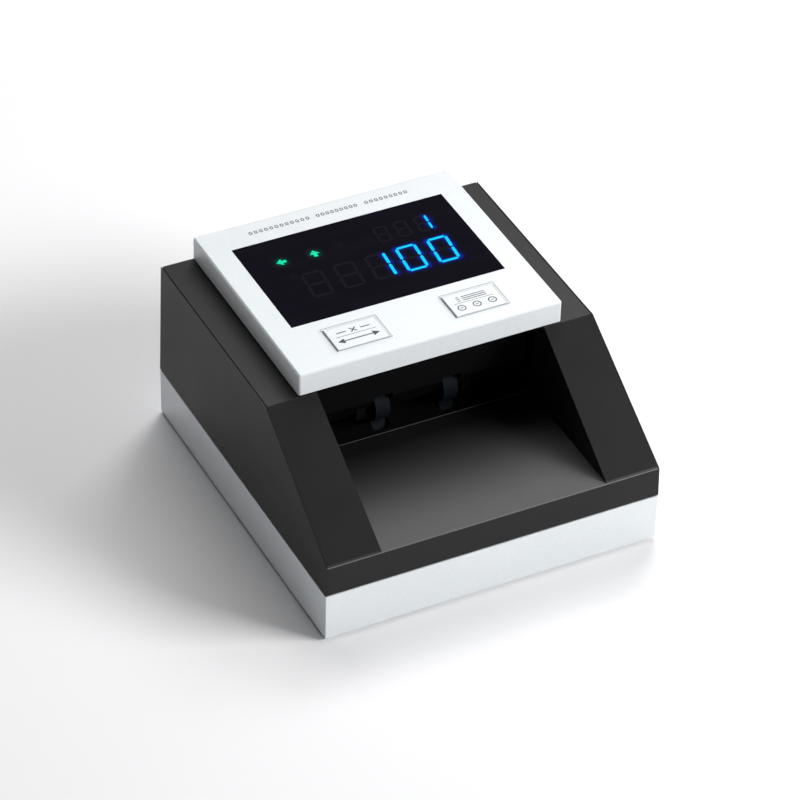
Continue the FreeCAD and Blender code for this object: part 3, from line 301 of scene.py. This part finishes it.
def ink(name, color, roughness=0.5, specular=0.3):
    surface = Surface(name, color, roughness, specular=specular)
    surface.tint(surface.noise(0.0006, 3.0), shade(color, 0.85), shade(color, 1.2))
    return surface


def lit(name, color, strength):
    """A lit display element, a little uneven, as the lamp behind it is."""
    surface = Surface(name, shade(color, 0.05), **GLASS)
    surface.glow(color, strength)
    uneven = surface.ramp(surface.noise(0.0016, 1.0), 0.0, 1.0)
    wander = surface.mix(uneven, shade(color, 0.8), color)
    surface.feed(wander, "Emission Color")
    return surface


FINISHES = {
    "silver_plastic": silver_paint(),
    "black_shell": black_shell(),
    "black_internal": black_internal(),
    "dark_rubber": rubber("dark_rubber", (0.018, 0.018, 0.019)),
    # the rollers' dark rubber, darkened further as painted shade for the inside of the housing
    "roller_rubber": rubber("roller_rubber", (0.0035, 0.0062, 0.0080), 0.08),
    "steel": drawn_steel(),
    "motor_steel": drawn_steel("motor_steel", (0.42, 0.43, 0.45), 0.38),
    "bronze": bronze(),
    "white_acetal": acetal(),
    "circuit_board": circuit_board(),
    "black_component": component_black(),
    "green_lamp": green_lens(),
    "smoked_window": smoked_acrylic("smoked_window", DARK_GLASS),
    "sensor_glass": smoked_acrylic("sensor_glass", (0.008, 0.008, 0.02)),
}

for part in frame["record"]["subparts"]:
    node = nodes[part["node"]]
    node.data.materials.clear()
    node.data.materials.append(FINISHES[part["material_slot"]].material)


# ---------------------------------------------------------------- printed and lit detail

WELD = 1e-7


class Plate:
    """Collects flat outlines and raises them off one level into a thin mesh."""

    def __init__(self, name, level, thickness=FLAT):
        self.name = name
        self.level = level
        self.thickness = thickness
        self.mesh = bmesh.new()

    def add(self, points):
        """One convex or simple outline, as (x, y) in millimetres, anticlockwise from above."""
        low, high = ([self.mesh.verts.new((x * MM, y * MM, z)) for x, y in points]
                     for z in (self.level, self.level + self.thickness))
        count = len(points)
        self.mesh.faces.new(list(reversed(low)))
        self.mesh.faces.new(high)
        for i in range(count):
            j = (i + 1) % count
            self.mesh.faces.new((low[i], low[j], high[j], high[i]))

    def bar(self, start, end, width):
        """A straight stroke with square ends."""
        a, b = Vector(start), Vector(end)
        side = (b - a).normalized().orthogonal() * width / 2
        self.add([tuple(a - side), tuple(b - side), tuple(b + side), tuple(a + side)])

    def ring(self, centre, radius, width, sides=28):
        outer, inner = radius + width / 2, radius - width / 2
        for i in range(sides):
            ends = [2 * math.pi * k / sides for k in (i, i + 1)]
            rim = [(outer, turn) for turn in ends] + [(inner, turn) for turn in reversed(ends)]
            self.add([(centre[0] + r * math.cos(turn), centre[1] + r * math.sin(turn))
                      for r, turn in rim])

    def frame(self, low, high, width):
        """A hairline round an upright rectangle."""
        corners = [tuple(low), (high[0], low[1]), tuple(high), (low[0], high[1])]
        for start, end in zip(corners, corners[1:] + corners[:1]):
            self.bar(start, end, width)

    def finish(self, body, surface):
        data = bpy.data.meshes.new(self.name)
        bmesh.ops.remove_doubles(self.mesh, verts=self.mesh.verts, dist=WELD)
        bmesh.ops.recalc_face_normals(self.mesh, faces=self.mesh.faces)
        self.mesh.to_mesh(data)
        self.mesh.free()
        piece = bpy.data.objects.new(self.name, data)
        bpy.context.scene.collection.objects.link(piece)
        data.materials.append(surface.material)
        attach(piece, body)


SLANT = 0.09
SEGMENT_GAP = 0.16
BIG = {"wide": 7.6, "tall": 14.6, "stroke": 1.25}
SMALL = {"wide": 4.8, "tall": 9.2, "stroke": 0.95}
DIGIT_Y = 28.1
BIG_X = (2.4, 15.6, 28.9)
BIG_SPARE_X = (-24.0, -10.8)
SMALL_PLACE = (29.3, 46.3)
SMALL_PITCH = 8.6
ALL_SEGMENTS = "abcdefg"
ONE = "bc"
ZERO = "abcdef"


def segments(place, form, wanted):
    """The six-sided bars of a seven-segment figure, leaning a little to the right."""
    x, y = place
    half, tall, stroke = form["wide"] / 2, form["tall"] / 2, form["stroke"]
    runs = {"a": ((-half, tall), (half, tall)), "g": ((-half, 0), (half, 0)),
            "d": ((-half, -tall), (half, -tall)), "b": ((half, 0), (half, tall)),
            "c": ((half, -tall), (half, 0)), "e": ((-half, -tall), (-half, 0)),
            "f": ((-half, 0), (-half, tall))}
    shapes = []
    for word in wanted:
        (x0, y0), (x1, y1) = runs[word]
        run = Vector((1, 0)) if y0 == y1 else Vector((0, 1))
        across = Vector((run.y, run.x))
        a, b = Vector((x0, y0)) + run * SEGMENT_GAP, Vector((x1, y1)) - run * SEGMENT_GAP
        step, side = run * stroke / 2, across * stroke / 2
        corners = [a, a + step - side, b - step - side, b, b - step + side, a + step + side]
        if run.y:
            corners.reverse()
        shapes.append([(x + c.x + SLANT * c.y, y + c.y) for c in corners])
    return shapes


WINDOW_LOW, WINDOW_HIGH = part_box("display_window")
PRINT_LEVEL = WINDOW_HIGH.z + 2 * FLAT
LIT_BLUE = [((x, DIGIT_Y), BIG, figure) for x, figure in zip(BIG_X, (ONE, ZERO, ZERO))]
LIT_BLUE.append((SMALL_PLACE, SMALL, ONE))
LIT_GREEN = ((-30.5, 46.0), (-16.8, 45.8))
UNLIT_MARKS = ((-5.9, 46.6), (-30.5, 36.1))
MARK_HALF, MARK_STEP, MARK_LINE = 1.5, 1.4, 0.45
ARROW_HEAD = ((-2.0, -0.3), (2.0, -0.3), (0.0, 2.1))
ARROW_SHAFT = ((-0.75, -2.0), (0.75, -2.0), (0.75, -0.3), (-0.75, -0.3))


def lit_figures():
    plate = Plate("lit_figures", PRINT_LEVEL)
    for place, form, wanted in LIT_BLUE:
        for shape in segments(place, form, wanted):
            plate.add(shape)
    plate.finish("lid", lit("figure_light", (0.008, 0.60, 0.92), 1.2))


def unlit_figures():
    """The segments and marks that are off, which only just show through the smoked sheet."""
    plate = Plate("unlit_figures", PRINT_LEVEL, FLAT / 2)
    spare = [((BIG_X[0], DIGIT_Y), BIG, "adefg"), (SMALL_PLACE, SMALL, "adefg")]
    spare += [((x, DIGIT_Y), BIG, "g") for x in BIG_X[1:]]
    spare += [((x, DIGIT_Y), BIG, ALL_SEGMENTS) for x in BIG_SPARE_X]
    spare += [((SMALL_PLACE[0] - step * SMALL_PITCH, SMALL_PLACE[1]), SMALL, ALL_SEGMENTS)
              for step in (1, 2)]
    for place, form, wanted in spare:
        for shape in segments(place, form, wanted):
            plate.add(shape)
    for x, y in UNLIT_MARKS:
        for step in (-MARK_STEP, 0.0, MARK_STEP):
            plate.bar((x - MARK_HALF, y + step), (x + MARK_HALF, y + step), MARK_LINE)
    plate.finish("lid", ink("unlit_figure", (0.0098, 0.0102, 0.0135), **GLASS))


def green_marks():
    """Two lit direction marks: an arrow to the left and an arrow up."""
    plate = Plate("green_marks", PRINT_LEVEL)
    for (x, y), turn in zip(LIT_GREEN, (math.pi / 2, 0.0)):
        spin = Matrix.Rotation(turn, 2)
        for outline in (ARROW_HEAD, ARROW_SHAFT):
            plate.add([(x + p.x, y + p.y) for p in (spin @ Vector(c) for c in outline)])
    plate.finish("lid", lit("mark_light", (0.015, 1.0, 0.55), 0.85))


def run_distance(point, shape):
    """How far a point lies from a bar's middle line."""
    a = Vector(shape[0])
    along = Vector(shape[3]) - a
    share = max(0.0, min(1.0, (point - a).dot(along) / along.length_squared))
    return (point - a - along * share).length


HALO_STEP = 0.55
HALO_MARGIN = 0.15 * MM
HALO_MOST = 1.2  # where strokes meet, their glow adds up to no more than this
BLUE_REACH = 1.2
GREEN_REACH = 1.9
SHEET_DARK = (0.0008, 0.0008, 0.0016)
BLUE_HALO = (0.0, 0.014, 0.30)
GREEN_HALO = (0.0, 0.10, 0.055)


def halo_sheet():
    """The light that spreads in the smoked sheet round what is lit, as a colour on a fine grid."""
    low, high = WINDOW_LOW, WINDOW_HIGH
    wide, deep = high.x - low.x - 2 * HALO_MARGIN, high.y - low.y - 2 * HALO_MARGIN
    across = int(wide / (HALO_STEP * MM))
    along = int(deep / (HALO_STEP * MM))
    shapes = [shape for place, form, wanted in LIT_BLUE for shape in segments(place, form, wanted)]
    points, colors, faces = [], [], []
    for j in range(along + 1):
        for i in range(across + 1):
            x = low.x + HALO_MARGIN + wide * i / across
            y = low.y + HALO_MARGIN + deep * j / along
            here = Vector((x / MM, y / MM))
            blue = sum(math.exp(-(run_distance(here, shape) / BLUE_REACH) ** 2) for shape in shapes)
            green = sum(math.exp(-((here - Vector(mark)).length / GREEN_REACH) ** 2)
                        for mark in LIT_GREEN)
            points.append((x, y, WINDOW_HIGH.z + FLAT))
            colors.append([dark + green * g + min(blue, HALO_MOST) * b
                           for dark, g, b in zip(SHEET_DARK, GREEN_HALO, BLUE_HALO)] + [1.0])
    for j in range(along):
        for i in range(across):
            k = j * (across + 1) + i
            faces.append((k, k + 1, k + across + 2, k + across + 1))
    data = bpy.data.meshes.new("display_sheet")
    data.from_pydata(points, [], faces)
    layer = data.color_attributes.new("glow", "FLOAT_COLOR", "POINT")
    layer.data.foreach_set("color", [channel for color in colors for channel in color])
    piece = bpy.data.objects.new("display_sheet", data)
    bpy.context.scene.collection.objects.link(piece)
    surface = smoked_acrylic("display_sheet", DARK_GLASS)
    attribute = surface.tree.nodes.new("ShaderNodeAttribute")
    attribute.attribute_name = "glow"
    surface.feed(attribute.outputs["Color"], "Emission Color")
    surface.put(surface.shader, "Emission Strength", 1.0)
    data.materials.append(surface.material)
    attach(piece, "lid")


# The grey frame round each key's top is painted shade: the dark line of the gap round the key, drawn
# as print.
RIM_SHADE_INSET = 0.15
RIM_SHADE_LINE = 0.18
RULE_HALF = 8.2  # half the length of the hairline between a key's two rows
RULE_RISE = 0.35
RULE_LINE = 0.22
UPPER_ROW = 2.7
UNDER_ROW = -2.5
SIGN_LINE = 0.5
CROSS = 1.2
DASH = (3.0, 6.8)
ARROW_TIP, ARROW_ROOT, ARROW_HALF, ARROW_LINE = 8.6, 5.8, 1.5, 0.55
LIST_STEP, LIST_LINE = 1.1, 0.42
LIST_MARK, LIST_RUN = (-6.0, -4.8), (-3.8, 6.0)
COIN_STEP, COIN_RADIUS, COIN_LINE = 6.4, 1.5, 0.45
COIN_DASH, COIN_DASH_LINE = 0.6, 0.4


def direction_sign(plate, x, upper, under):
    """A cross between two dashes, over a double arrow."""
    plate.bar((x - CROSS, upper - CROSS), (x + CROSS, upper + CROSS), SIGN_LINE)
    plate.bar((x - CROSS, upper + CROSS), (x + CROSS, upper - CROSS), SIGN_LINE)
    for side in (-1, 1):
        plate.bar((x + side * DASH[0], upper), (x + side * DASH[1], upper), SIGN_LINE)
        tip, root = x + side * ARROW_TIP, x + side * ARROW_ROOT
        arrow = [(root, under - ARROW_HALF), (tip, under), (root, under + ARROW_HALF)]
        plate.add(arrow if side > 0 else arrow[::-1])
    plate.bar((x - ARROW_ROOT, under), (x + ARROW_ROOT, under), ARROW_LINE)


def list_sign(plate, x, upper, under):
    """A list of three lines, over three coins."""
    for step in (-LIST_STEP, 0.0, LIST_STEP):
        for start, end in (LIST_MARK, LIST_RUN):
            plate.bar((x + start, upper + step), (x + end, upper + step), LIST_LINE)
    for step in (-COIN_STEP, 0.0, COIN_STEP):
        plate.ring((x + step, under), COIN_RADIUS, COIN_LINE)
        plate.bar((x + step - COIN_DASH, under), (x + step + COIN_DASH, under), COIN_DASH_LINE)


def key_legends():
    """Plain signs printed on the keys, two rows with a hairline between, in place of words; a grey
    frame round each key's edge is painted shade for the gap round the key.
    """
    grey = ink("legend_ink_and_rim_shade", (0.045, 0.045, 0.05))
    for word, body, sign in (("left", "left_key_cap", direction_sign),
                             ("right", "right_key_cap", list_sign)):
        low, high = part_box(f"{word}_key")
        x = (low.x + high.x) / 2 / MM
        y = (low.y + high.y) / 2 / MM
        plate = Plate(f"{word}_key_legend_and_rim_shade", high.z)
        plate.bar((x - RULE_HALF, y + RULE_RISE), (x + RULE_HALF, y + RULE_RISE), RULE_LINE)
        # painted shade: the gap's dark line, drawn as a printed frame just inside the key's edge
        plate.frame([v / MM + RIM_SHADE_INSET for v in low[:2]],
                    [v / MM - RIM_SHADE_INSET for v in high[:2]], RIM_SHADE_LINE)
        sign(plate, x, y + UPPER_ROW, y + UNDER_ROW)
        plate.finish(body, grey)


PRINT_GROUPS = ((-34.5, -8.3), (-6.0, 12.0), (14.6, 33.5))
PRINT_PITCH = 2.1
PRINT_MARK = 0.95
PRINT_TALL = 1.4
PRINT_STROKE = 0.36
PRINT_RISE = 7.0  # the line's distance above the window


def console_print():
    """Three printed groups of small empty boxes above the window, in place of its words."""
    plate = Plate("console_print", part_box("console_plate")[1].z)
    line_y = WINDOW_HIGH.y / MM + PRINT_RISE
    for start, end in PRINT_GROUPS:
        count = round((end - start) / PRINT_PITCH)
        for i in range(count):
            x = start + (end - start) * (i + 0.5) / count
            plate.frame((x - PRINT_MARK / 2, line_y - PRINT_TALL / 2),
                        (x + PRINT_MARK / 2, line_y + PRINT_TALL / 2), PRINT_STROKE)
    plate.finish("lid", ink("console_ink", (0.06, 0.06, 0.065)))


lit_figures()
unlit_figures()
green_marks()
halo_sheet()
key_legends()
console_print()


# ---------------------------------------------------------------- floor, light and camera

FLOOR_SIZE = 12.0
FLOOR_GLOW = {"from": 0.6, "to": 2.6, "strength": 0.8}  # distances from the object's middle
# The sky's strength, from low to high between two heights (the sine of the angle up).
HORIZON = {"From Min": 0.03, "From Max": 0.22, "To Min": 0.85, "To Max": 0.06}
LIGHT_AIM = (0.0, 0.0, 0.04)
LIGHTS = (  # name, place, width, depth, watts
    ("right_key", (1.19, -0.99, 0.85), 0.9, 0.42, 37.0),
    ("overhead", (0.20, 0.62, 1.28), 0.9, 0.9, 11.0),
    ("back_right_gloss", (0.75, 0.75, 1.10), 0.5, 0.5, 6.0),
)


def floor():
    """A pale floor that glows a little far out, so that low views end in a pale backdrop."""
    bpy.ops.mesh.primitive_plane_add(size=FLOOR_SIZE, location=(0.0, 0.0, 0.0))
    plane = bpy.context.object
    plane.name = "studio_floor"
    surface = Surface("pale_floor", (0.84, 0.84, 0.85), 0.7, specular=0.2)
    surface.tint(surface.noise(0.2, 2.0), (0.83, 0.83, 0.84), (0.85, 0.85, 0.86))
    distance = surface.node("ShaderNodeVectorMath", Vector=surface.place())
    distance.operation = "LENGTH"
    surface.glow((1.0, 1.0, 1.0), 0.0)
    strength = surface.ramp(distance.outputs["Value"], 0.0, FLOOR_GLOW["strength"],
                            FLOOR_GLOW["from"], FLOOR_GLOW["to"])
    surface.feed(strength, "Emission Strength")
    plane.data.materials.append(surface.material)


def panel(name, spot, width, depth, watts):
    """A white soft box that faces the object."""
    light = bpy.data.lights.new(name, "AREA")
    light.shape = "RECTANGLE"
    light.size = width
    light.size_y = depth
    light.energy = watts
    item = bpy.data.objects.new(name, light)
    item.location = spot
    item.rotation_euler = (Vector(LIGHT_AIM) - Vector(spot)).to_track_quat("-Z", "Y").to_euler()
    bpy.context.scene.collection.objects.link(item)


def studio():
    """Three soft boxes under a dim sky that brightens towards the horizon."""
    world = bpy.data.worlds.new("studio_world")
    bpy.context.scene.world = world
    world.use_nodes = True
    tree = world.node_tree
    background = tree.nodes["Background"]
    background.inputs["Color"].default_value = (1.0, 1.0, 1.0, 1.0)
    split = tree.nodes.new("ShaderNodeSeparateXYZ")
    tree.links.new(tree.nodes.new("ShaderNodeTexCoord").outputs["Generated"], split.inputs[0])
    rise = tree.nodes.new("ShaderNodeMapRange")
    tree.links.new(split.outputs["Z"], rise.inputs["Value"])
    for socket, value in HORIZON.items():
        rise.inputs[socket].default_value = value
    tree.links.new(rise.outputs["Result"], background.inputs["Strength"])
    for light in LIGHTS:
        panel(*light)
    bpy.context.scene.view_settings.view_transform = "Standard"


CAMERA = {"azimuth": -27.166, "elevation": 38.059, "roll": 1.403, "distance": 1.5406,
          "aim": (-0.0041, -0.0034, 0.040), "lens_mm": 183.57, "film_mm": 36.0, "clip_start": 0.05}


def camera():
    azimuth, elevation = (math.radians(CAMERA[word]) for word in ("azimuth", "elevation"))
    back = Vector((math.sin(azimuth) * math.cos(elevation),
                   -math.cos(azimuth) * math.cos(elevation), math.sin(elevation)))
    data = bpy.data.cameras.new("camera")
    data.lens = CAMERA["lens_mm"]
    data.sensor_width = CAMERA["film_mm"]
    data.clip_start = CAMERA["clip_start"]
    item = bpy.data.objects.new("camera", data)
    roll = Matrix.Rotation(math.radians(CAMERA["roll"]), 3, "Z")
    turn = (back.to_track_quat("Z", "Y").to_matrix() @ roll).to_4x4()
    item.matrix_world = Matrix.Translation(Vector(CAMERA["aim"]) + back * CAMERA["distance"]) @ turn
    bpy.context.scene.collection.objects.link(item)
    bpy.context.scene.camera = item


floor()
studio()
camera()
